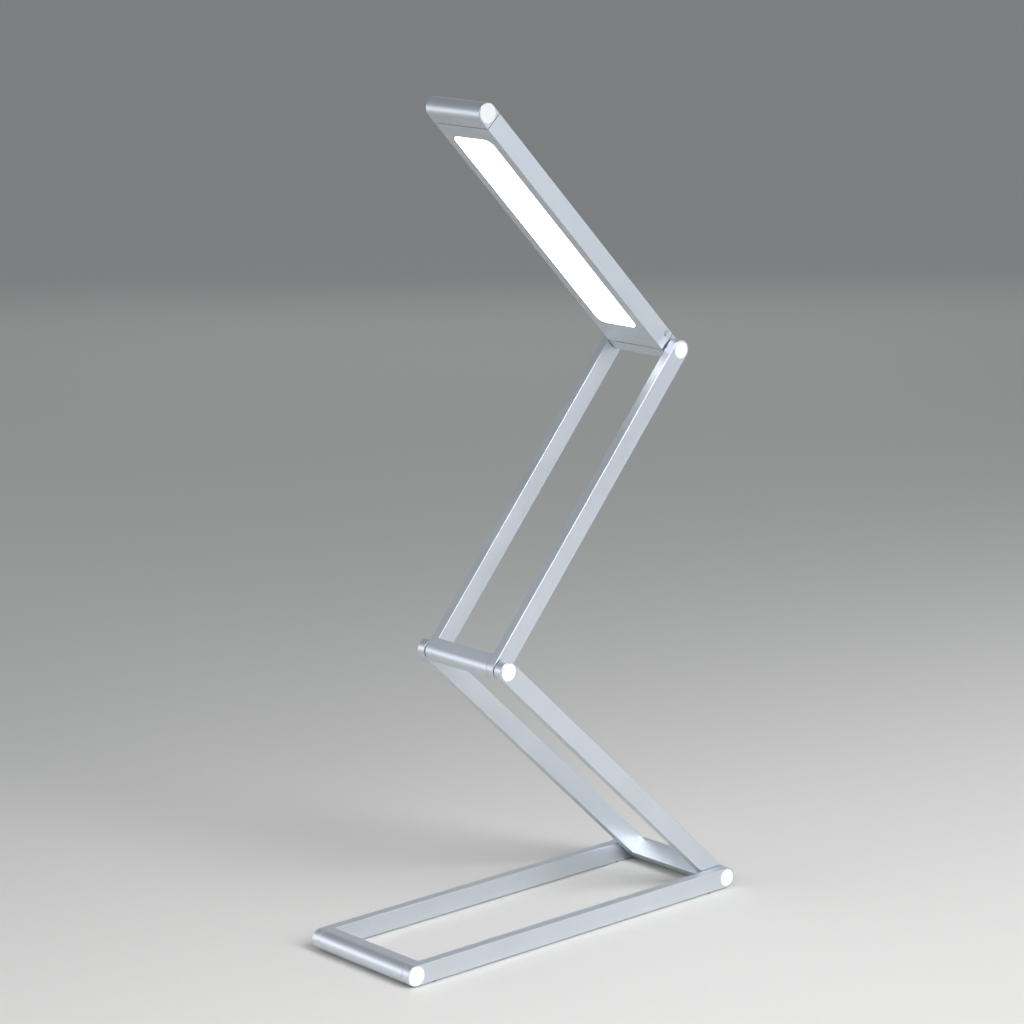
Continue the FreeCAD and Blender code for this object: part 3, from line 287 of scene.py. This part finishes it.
def white_abs():
    """Bright white plastic, with the faint unevenness of a moulded skin."""
    material = new_material("white_abs")
    place = add(material, "ShaderNodeTexCoord", {}).outputs["Object"]
    # Flow of the melt, over about 3 mm, and a polished mould's orange peel of 0.5 mm.
    flow = add(material, "ShaderNodeTexNoise", {"Vector": place, "Scale": 1 / 0.003, "Detail": 2})
    peel = add(material, "ShaderNodeTexNoise", {"Vector": place, "Scale": 1 / 0.0005, "Detail": 1})
    colour = add(material, "ShaderNodeMix", {
        "Factor": flow.outputs["Fac"], MIX_FIRST: linear("#f8f9fa"), MIX_SECOND: linear("#ffffff"),
    }, data_type="RGBA")
    roughness = add(material, "ShaderNodeMapRange", {
        "Value": flow.outputs["Fac"], "From Min": 0.3, "From Max": 0.7, "To Min": 0.28, "To Max": 0.36,
    })
    bump = add(material, "ShaderNodeBump", {
        "Height": peel.outputs["Fac"], "Strength": 0.1, "Distance": 0.00001,
    })
    return finish_with(material, add(material, "ShaderNodeBsdfPrincipled", {
        "Base Color": colour.outputs[MIX_RESULT],
        "IOR": 1.54,
        "Roughness": roughness.outputs[0],
        "Normal": bump.outputs[0],
    }))


def rolled_rim(radius, roll, steps=6):
    """Points of a quarter circle of radius roll, from a disc's side up to its face at height 0:
    (radius - roll + roll cos a, -roll + roll sin a), with a from 0 to a quarter turn."""
    turn = np.linspace(0, np.pi / 2, steps + 1)
    return [(radius - roll + roll * math.cos(a), -roll + roll * math.sin(a)) for a in turn]


def make_caps(node):
    """Both caps of a pair, sized by the CAD caps that they stand for."""
    low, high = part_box(node)
    radius = (high.x - low.x) / 2
    middle = np.array([(low.x + high.x) / 2, 0, (low.z + high.z) / 2])
    depth = 0.0015
    bevel = 0.0001
    roll = 0.00025
    rim_width = 0.0005
    rim_drop = 0.00001
    dish = 0.00004
    # How far in from the side the dish reaches its depth, and a second ring that keeps its floor flat.
    dish_start = 0.0010
    dish_floor = 0.0013
    profile = [(0, -depth), (radius - bevel, -depth), (radius, -depth + bevel)]
    profile += [(radius, -roll - bevel)]
    profile += rolled_rim(radius, roll)
    profile += [(radius - rim_width, -rim_drop), (radius - dish_start, -dish)]
    profile += [(radius - dish_floor, -dish), (radius / 2, -dish), (0, -dish)]
    left = (middle + high.y * Y, Z, X, Y)
    right = (middle + low.y * Y, X, Z, -Y)
    piece = turned_piece(f"{node}_moulded", profile, [left, right])
    piece.data.materials.append(abs_white)
    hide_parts(node)
    return piece


abs_white = white_abs()
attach(make_caps("base_bar_caps"), "base")
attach(make_caps("base_hinge_caps"), "base")
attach(make_caps("mid_hinge_caps"), "lower_arm")
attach(make_caps("head_hinge_caps"), "upper_arm")
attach(make_caps("head_tip_caps"), "head")


# ---- Feet ----
# Four pads of black silicone rubber, moulded, glued into sockets under the base's rails. Their lower
# rims are rounded by wear and moulding, and they keep the frame a hair above the desk.

def black_rubber():
    """Black, dull, with a little dust in its pores."""
    material = new_material("black_rubber")
    place = add(material, "ShaderNodeTexCoord", {}).outputs["Object"]
    # Pores of about 0.3 mm.
    pores = add(material, "ShaderNodeTexNoise", {"Vector": place, "Scale": 1 / 0.0003, "Detail": 3})
    colour = add(material, "ShaderNodeMix", {
        "Factor": pores.outputs["Fac"], MIX_FIRST: linear("#151515"), MIX_SECOND: linear("#262625"),
    }, data_type="RGBA")
    bump = add(material, "ShaderNodeBump", {
        "Height": pores.outputs["Fac"], "Strength": 0.4, "Distance": 0.00004,
    })
    return finish_with(material, add(material, "ShaderNodeBsdfPrincipled", {
        "Base Color": colour.outputs[MIX_RESULT],
        "IOR": 1.50,
        "Roughness": 0.8,
        "Normal": bump.outputs[0],
    }))


def make_feet():
    """The four pads, each a short turned piece with its face downwards."""
    low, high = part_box("rubber_feet")
    radius = 0.0022
    bevel = 0.0001
    roll = 0.0004
    sole_start = 0.0006
    height = high.z - low.z
    profile = [(0, -height), (radius - bevel, -height), (radius, -height + bevel)]
    profile += [(radius, -roll - bevel)]
    profile += rolled_rim(radius, roll)
    profile += [(radius - sole_start, 0), (radius / 2, 0), (0, 0)]
    places = []
    for x in (low.x + radius, high.x - radius):
        for y in (low.y + radius, high.y - radius):
            places.append(((x, y, low.z), Y, X, -Z))
    return turned_piece("rubber_feet_moulded", profile, places)


feet = make_feet()
feet.data.materials.append(black_rubber())
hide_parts("rubber_feet")
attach(feet, "base")


# ---- Head: end bars, body and cover ----
# The same extruded and anodised aluminium as the frames: a shallow channel between two nosed bars,
# closed on its back by a flush plate with four small countersunk screws.

dress(anodised_aluminium("head"), "head_hinge_bar", "head_tip_bar", "head_housing", "head_cover")
dress(steel, "head_cover_screws")


# ---- Diffuser ----
# Opal acrylic, 1.4 mm in the window, laser cut and polished, lit evenly from behind by two rows of
# lights: a plain white glow that is a touch brighter over each light.

def opal_acrylic():
    """White and lit: the glow rises by a few percent every 12 mm along the head, over the lights."""
    material = new_material("opal_acrylic")
    start, end = long_sides["head"]
    lean = math.atan2(end.z - start.z, end.x - start.x)
    place = add(material, "ShaderNodeTexCoord", {}).outputs["Object"]
    along = add(material, "ShaderNodeMapping", {
        "Vector": place, "Location": start, "Rotation": (0, -lean, 0),
    }, vector_type="TEXTURE")
    # One crest for each light. At scale 1, the wave repeats every 2 pi / 20.
    light_spacing = 0.012
    wave = add(material, "ShaderNodeTexWave", {
        "Vector": along.outputs[0], "Scale": 2 * math.pi / 20 / light_spacing, "Distortion": 0.0,
    }, wave_type="BANDS", bands_direction="X", wave_profile="SIN")
    glow = add(material, "ShaderNodeMix", {
        "Factor": wave.outputs["Fac"], MIX_FIRST: linear("#fbfdff"), MIX_SECOND: linear("#ffffff"),
    }, data_type="RGBA")
    # Fine haze in the sheet, about 1 mm, for its polish.
    haze = add(material, "ShaderNodeTexNoise", {"Vector": place, "Scale": 1 / 0.001, "Detail": 1})
    roughness = add(material, "ShaderNodeMapRange", {
        "Value": haze.outputs["Fac"], "From Min": 0.3, "From Max": 0.7, "To Min": 0.30, "To Max": 0.40,
    })
    return finish_with(material, add(material, "ShaderNodeBsdfPrincipled", {
        "Base Color": linear("#f4f6f8"),
        "IOR": 1.49,
        "Roughness": roughness.outputs[0],
        "Emission Color": glow.outputs[MIX_RESULT],
        "Emission Strength": 3.0,
    }))


dress(opal_acrylic(), "diffuser")


# ---- Reflector frame ----
# White polycarbonate, injection moulded, between the diffuser and the light board. It is filled with
# titanium white, so it scatters light sideways and hides the board's edges.

def white_polycarbonate():
    """Very white, dull, with a fine mould grain."""
    material = new_material("white_polycarbonate")
    place = add(material, "ShaderNodeTexCoord", {}).outputs["Object"]
    # Mould grain of 0.2 mm.
    grain = add(material, "ShaderNodeTexNoise", {"Vector": place, "Scale": 1 / 0.0002, "Detail": 2})
    colour = add(material, "ShaderNodeMix", {
        "Factor": grain.outputs["Fac"], MIX_FIRST: linear("#ededeb"), MIX_SECOND: linear("#f7f7f6"),
    }, data_type="RGBA")
    bump = add(material, "ShaderNodeBump", {
        "Height": grain.outputs["Fac"], "Strength": 0.2, "Distance": 0.00002,
    })
    return finish_with(material, add(material, "ShaderNodeBsdfPrincipled", {
        "Base Color": colour.outputs[MIX_RESULT],
        "IOR": 1.58,
        "Roughness": 0.6,
        "Normal": bump.outputs[0],
    }))


dress(white_polycarbonate(), "reflector_frame")


# ---- Light board and lights ----
# An aluminium-backed circuit board under white solder mask, screen printed and baked, with two rows of
# small lights: white packages filled with yellow phosphor.

def solder_mask(name, low_colour, high_colour):
    """Baked lacquer over copper tracks: a gloss coat whose tone follows the tracks beneath."""
    material = new_material(name)
    place = add(material, "ShaderNodeTexCoord", {}).outputs["Object"]
    # Copper areas of about 6 mm under the lacquer.
    copper = add(material, "ShaderNodeTexVoronoi", {
        "Vector": place, "Scale": 1 / 0.006,
    }, distance="MANHATTAN")
    tone = add(material, "ShaderNodeMapRange", {
        "Value": copper.outputs["Distance"], "From Min": 0.4, "From Max": 0.45,
    })
    colour = add(material, "ShaderNodeMix", {
        "Factor": tone.outputs[0], MIX_FIRST: linear(low_colour), MIX_SECOND: linear(high_colour),
    }, data_type="RGBA")
    bump = add(material, "ShaderNodeBump", {
        "Height": tone.outputs[0], "Strength": 0.3, "Distance": 0.00003,
    })
    return finish_with(material, add(material, "ShaderNodeBsdfPrincipled", {
        "Base Color": colour.outputs[MIX_RESULT],
        "IOR": 1.52,
        "Roughness": 0.35,
        "Normal": bump.outputs[0],
    }))


def lit_phosphor():
    """Yellow phosphor in clear resin, lit: grains of two yellows that glow warm white."""
    material = new_material("lit_phosphor")
    place = add(material, "ShaderNodeTexCoord", {}).outputs["Object"]
    # Phosphor grains, drawn 0.1 mm wide.
    grains = add(material, "ShaderNodeTexNoise", {"Vector": place, "Scale": 1 / 0.0001, "Detail": 2})
    colour = add(material, "ShaderNodeMix", {
        "Factor": grains.outputs["Fac"], MIX_FIRST: linear("#e8c85a"), MIX_SECOND: linear("#f6e39a"),
    }, data_type="RGBA")
    return finish_with(material, add(material, "ShaderNodeBsdfPrincipled", {
        "Base Color": colour.outputs[MIX_RESULT],
        "IOR": 1.50,
        "Roughness": 0.3,
        "Emission Color": linear("#fff6e4"),
        "Emission Strength": 6.0,
    }))


dress(solder_mask("white_solder_mask", "#e9e9e6", "#f3f3f1"), "led_board")
dress(lit_phosphor(), "led_chips")


# ---- Battery and its leads ----
# A lithium pouch cell in aluminium laminate, pressed and heat sealed, stuck to the light board's back,
# and two silicone-insulated leads to the driver board.

def pouch_laminate():
    """Silver plastic-coated foil, slightly crumpled."""
    material = new_material("pouch_laminate")
    place = add(material, "ShaderNodeTexCoord", {}).outputs["Object"]
    # Creases about 4 mm apart.
    creases = add(material, "ShaderNodeTexNoise", {"Vector": place, "Scale": 1 / 0.004, "Detail": 4})
    colour = add(material, "ShaderNodeMix", {
        "Factor": creases.outputs["Fac"], MIX_FIRST: linear("#b4b7bb"), MIX_SECOND: linear("#cfd2d6"),
    }, data_type="RGBA")
    bump = add(material, "ShaderNodeBump", {
        "Height": creases.outputs["Fac"], "Strength": 0.6, "Distance": 0.0002,
    })
    return finish_with(material, add(material, "ShaderNodeBsdfPrincipled", {
        "Base Color": colour.outputs[MIX_RESULT],
        "Metallic": 0.9,
        "Roughness": 0.4,
        "Normal": bump.outputs[0],
    }))


def red_silicone():
    """Dull red insulation with a faint lengthwise draw."""
    material = new_material("red_silicone")
    place = add(material, "ShaderNodeTexCoord", {}).outputs["Object"]
    # Talc on the surface, in spots of about 0.5 mm.
    talc = add(material, "ShaderNodeTexNoise", {"Vector": place, "Scale": 1 / 0.0005, "Detail": 2})
    colour = add(material, "ShaderNodeMix", {
        "Factor": talc.outputs["Fac"], MIX_FIRST: linear("#a3150f"), MIX_SECOND: linear("#c02a22"),
    }, data_type="RGBA")
    return finish_with(material, add(material, "ShaderNodeBsdfPrincipled", {
        "Base Color": colour.outputs[MIX_RESULT],
        "IOR": 1.43,
        "Roughness": 0.6,
    }))


dress(pouch_laminate(), "battery_pack")
dress(red_silicone(), "battery_leads")


# ---- Driver board, coil, control chip and switch ----
# A glass-epoxy board under green solder mask, with a ferrite coil and an epoxy-moulded chip soldered to
# it, and the tactile switch on a small board of its own behind the button.

def dark_moulding(name, low_colour, high_colour, grain_size, roughness):
    """A dark component body: epoxy, ferrite or nylon, with its own grain."""
    material = new_material(name)
    place = add(material, "ShaderNodeTexCoord", {}).outputs["Object"]
    grain = add(material, "ShaderNodeTexNoise", {"Vector": place, "Scale": 1 / grain_size, "Detail": 3})
    colour = add(material, "ShaderNodeMix", {
        "Factor": grain.outputs["Fac"], MIX_FIRST: linear(low_colour), MIX_SECOND: linear(high_colour),
    }, data_type="RGBA")
    bump = add(material, "ShaderNodeBump", {
        "Height": grain.outputs["Fac"], "Strength": 0.3, "Distance": 0.00003,
    })
    return finish_with(material, add(material, "ShaderNodeBsdfPrincipled", {
        "Base Color": colour.outputs[MIX_RESULT],
        "IOR": 1.55,
        "Roughness": roughness,
        "Normal": bump.outputs[0],
    }))


dress(solder_mask("green_solder_mask", "#12402a", "#1d5c3b"), "driver_board")
dress(dark_moulding("sintered_ferrite", "#2c2c2f", "#3d3d41", 0.0003, 0.7), "driver_inductor")
dress(dark_moulding("moulded_epoxy", "#141416", "#222225", 0.0001, 0.5), "control_chip")
dress(dark_moulding("switch_nylon", "#18181a", "#262629", 0.0002, 0.6), "tactile_switch")


# ---- Charging socket ----
# A seamless shell drawn from stainless strip, bright nickel plated, flush in the head's left side, with
# its contact blade inside: sharper reflections than the anodised metal round it.

def nickel_plated_strip():
    """Bright, slightly warm metal with fine drawing marks."""
    material = new_material("nickel_plated_strip")
    place = add(material, "ShaderNodeTexCoord", {}).outputs["Object"]
    # Drawing marks, 0.1 mm.
    marks = add(material, "ShaderNodeTexNoise", {"Vector": place, "Scale": 1 / 0.0001, "Detail": 2})
    colour = add(material, "ShaderNodeMix", {
        "Factor": marks.outputs["Fac"], MIX_FIRST: linear("#b9b6af"), MIX_SECOND: linear("#cfccc6"),
    }, data_type="RGBA")
    roughness = add(material, "ShaderNodeMapRange", {
        "Value": marks.outputs["Fac"], "From Min": 0.3, "From Max": 0.7, "To Min": 0.16, "To Max": 0.26,
    })
    return finish_with(material, add(material, "ShaderNodeBsdfPrincipled", {
        "Base Color": colour.outputs[MIX_RESULT],
        "Metallic": 1.0,
        "Roughness": roughness.outputs[0],
    }))


dress(nickel_plated_strip(), "charging_socket")


# ---- Switch button ----
# A small moulded button in a hole in the head's right side, lacquered silver to go with the head. A
# flange inside keeps it in, and a thin dark gap runs round it.

def silver_lacquer():
    """Fine aluminium flake in clear lacquer, sprayed on a moulding: a little duller than the metal."""
    material = new_material("silver_lacquer")
    place = add(material, "ShaderNodeTexCoord", {}).outputs["Object"]
    # Clumps of flake, really about 0.05 mm, drawn at 0.2 mm so that they show.
    flake = add(material, "ShaderNodeTexNoise", {"Vector": place, "Scale": 1 / 0.0002, "Detail": 1})
    colour = add(material, "ShaderNodeMix", {
        "Factor": flake.outputs["Fac"], MIX_FIRST: linear("#cdd2d9"), MIX_SECOND: linear("#dde2e8"),
    }, data_type="RGBA")
    roughness = add(material, "ShaderNodeMapRange", {
        "Value": flake.outputs["Fac"], "From Min": 0.3, "From Max": 0.7, "To Min": 0.34, "To Max": 0.42,
    })
    return finish_with(material, add(material, "ShaderNodeBsdfPrincipled", {
        "Base Color": colour.outputs[MIX_RESULT],
        "Metallic": 1.0,
        "Roughness": roughness.outputs[0],
    }))


def make_button():
    """The button: flange, stem, rolled rim and a face that is dished for the fingertip."""
    low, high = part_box("switch_button")
    middle = np.array([(low.x + high.x) / 2, low.y, (low.z + high.z) / 2])
    radius = 0.0015
    flange = 0.0019
    flange_height = 0.0006
    bevel = 0.0001
    fillet = 0.00005
    roll = 0.00025
    rim_width = 0.0004
    rim_drop = 0.00003
    dish = 0.0001
    dish_start = 0.0008
    bottom = low.y - high.y
    profile = [(0, bottom), (flange - bevel, bottom), (flange, bottom + bevel)]
    profile += [(flange, bottom + flange_height - bevel), (flange - bevel, bottom + flange_height)]
    profile += [(radius + fillet, bottom + flange_height), (radius, bottom + flange_height + fillet)]
    profile += [(radius, -roll - bevel)]
    profile += rolled_rim(radius, roll)
    profile += [(radius - rim_width, -rim_drop), (radius - dish_start, -dish), (0, -dish)]
    return turned_piece("switch_button_moulded", profile, [(middle, X, Z, -Y)])


button = make_button()
button.data.materials.append(silver_lacquer())
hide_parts("switch_button")
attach(button, "button")


# ---- Floor ----
# A plain, pale, matt sweep of painted board, wide enough to fill the camera's view. It is not part of
# the lamp.

def pale_paint():
    """Warm pale grey, rolled on: very even."""
    material = new_material("pale_paint")
    place = add(material, "ShaderNodeTexCoord", {}).outputs["Object"]
    # The roller's stipple, about 3 mm.
    stipple = add(material, "ShaderNodeTexNoise", {"Vector": place, "Scale": 1 / 0.003, "Detail": 1})
    colour = add(material, "ShaderNodeMix", {
        "Factor": stipple.outputs["Fac"], MIX_FIRST: linear("#d6d4cf"), MIX_SECOND: linear("#d9d7d2"),
    }, data_type="RGBA")
    return finish_with(material, add(material, "ShaderNodeBsdfPrincipled", {
        "Base Color": colour.outputs[MIX_RESULT],
        "IOR": 1.45,
        "Roughness": 0.85,
    }))


floor_mesh = bpy.data.meshes.new("floor")
half_width = 90
corners = [(-half_width, -half_width, 0), (half_width, -half_width, 0)]
corners += [(half_width, half_width, 0), (-half_width, half_width, 0)]
floor_mesh.from_pydata(corners, [], [(0, 1, 2, 3)])
floor_mesh.materials.append(pale_paint())
floor = bpy.data.objects.new("floor", floor_mesh)
bpy.context.scene.collection.objects.link(floor)


# ---- Light ----
# Six soft boxes in a dim grey room. The front and right ones light the rails' outer faces and the floor
# that those mirror, the edge one draws the thin bright lines along the arms, the left one and the floor
# one light the bars' rounded noses, and the back one the flat tops.

def soft_box(name, place, aim, width, height, watts, spread, hex_colour):
    """A rectangular light, turned to a point; a grid narrows its beam to a spread in degrees."""
    light = bpy.data.lights.new(name, "AREA")
    light.shape = "RECTANGLE"
    light.size = width
    light.size_y = height
    light.energy = watts
    light.spread = math.radians(spread)
    light.color = linear(hex_colour)[:3]
    box = bpy.data.objects.new(name, light)
    box.location = place
    box.rotation_euler = (Vector(aim) - Vector(place)).to_track_quat("-Z", "Y").to_euler()
    box.visible_camera = False
    bpy.context.scene.collection.objects.link(box)


soft_box("front_light", place=(0.0, -1.05, 0.95), aim=(0.05, -0.25, 0), width=2.2, height=0.6,
         watts=4.2, spread=50, hex_colour="#f8fbff")
soft_box("edge_light", place=(0.08, -1.55, 0.85), aim=(0, 0, 0.25), width=0.5, height=0.5,
         watts=2.4, spread=90, hex_colour="#ffffff")
soft_box("right_light", place=(1.2, -1.4, 0.35), aim=(0, 0, 0.1), width=2.2, height=0.7,
         watts=3.4, spread=160, hex_colour="#f0f6ff")
soft_box("left_light", place=(-1.0, 1.15, 0.3), aim=(-0.1, 0, 0.05), width=1.8, height=0.6,
         watts=3.8, spread=150, hex_colour="#f4f7ff")
soft_box("floor_light", place=(-1.4, 0.3, 0.9), aim=(-0.25, 0.12, 0), width=0.6, height=0.6,
         watts=0.4, spread=50, hex_colour="#ffffff")
soft_box("back_light", place=(1.5, 1.7, 0.7), aim=(0, 0, 0.1), width=1.6, height=0.6,
         watts=1.4, spread=160, hex_colour="#ffffff")

world = bpy.data.worlds.new("room")
world.use_nodes = True
world.node_tree.nodes["Background"].inputs["Color"].default_value = linear("#c4c8ce")
world.node_tree.nodes["Background"].inputs["Strength"].default_value = 0.52
bpy.context.scene.world = world
bpy.context.scene.view_settings.view_transform = "Standard"


# ---- Camera ----
# Set by fitting the lamp's own edges and caps to the photograph: a long lens two metres away, low and
# to the left of the lamp's right side.

FOCAL_PIXELS = 3503.0
FRAME_PIXELS = 1024

camera_data = bpy.data.cameras.new("camera")
camera_data.sensor_width = 36
camera_data.lens = FOCAL_PIXELS / FRAME_PIXELS * camera_data.sensor_width
camera_data.clip_start = 0.1
camera_data.clip_end = 200
camera = bpy.data.objects.new("camera", camera_data)
azimuth, elevation, roll = (math.radians(angle) for angle in (-41.381, 13.107, -0.680))
distance = 1.97303
aim = Vector((-0.02856, -0.02230, 0.25410))
back = Vector((
    math.sin(azimuth) * math.cos(elevation),
    -math.cos(azimuth) * math.cos(elevation),
    math.sin(elevation),
))
camera.location = aim + back * distance
camera.rotation_mode = "QUATERNION"
camera.rotation_quaternion = (-back).to_track_quat("-Z", "Y") @ Quaternion((0, 0, 1), roll)
bpy.context.scene.collection.objects.link(camera)
bpy.context.scene.camera = camera
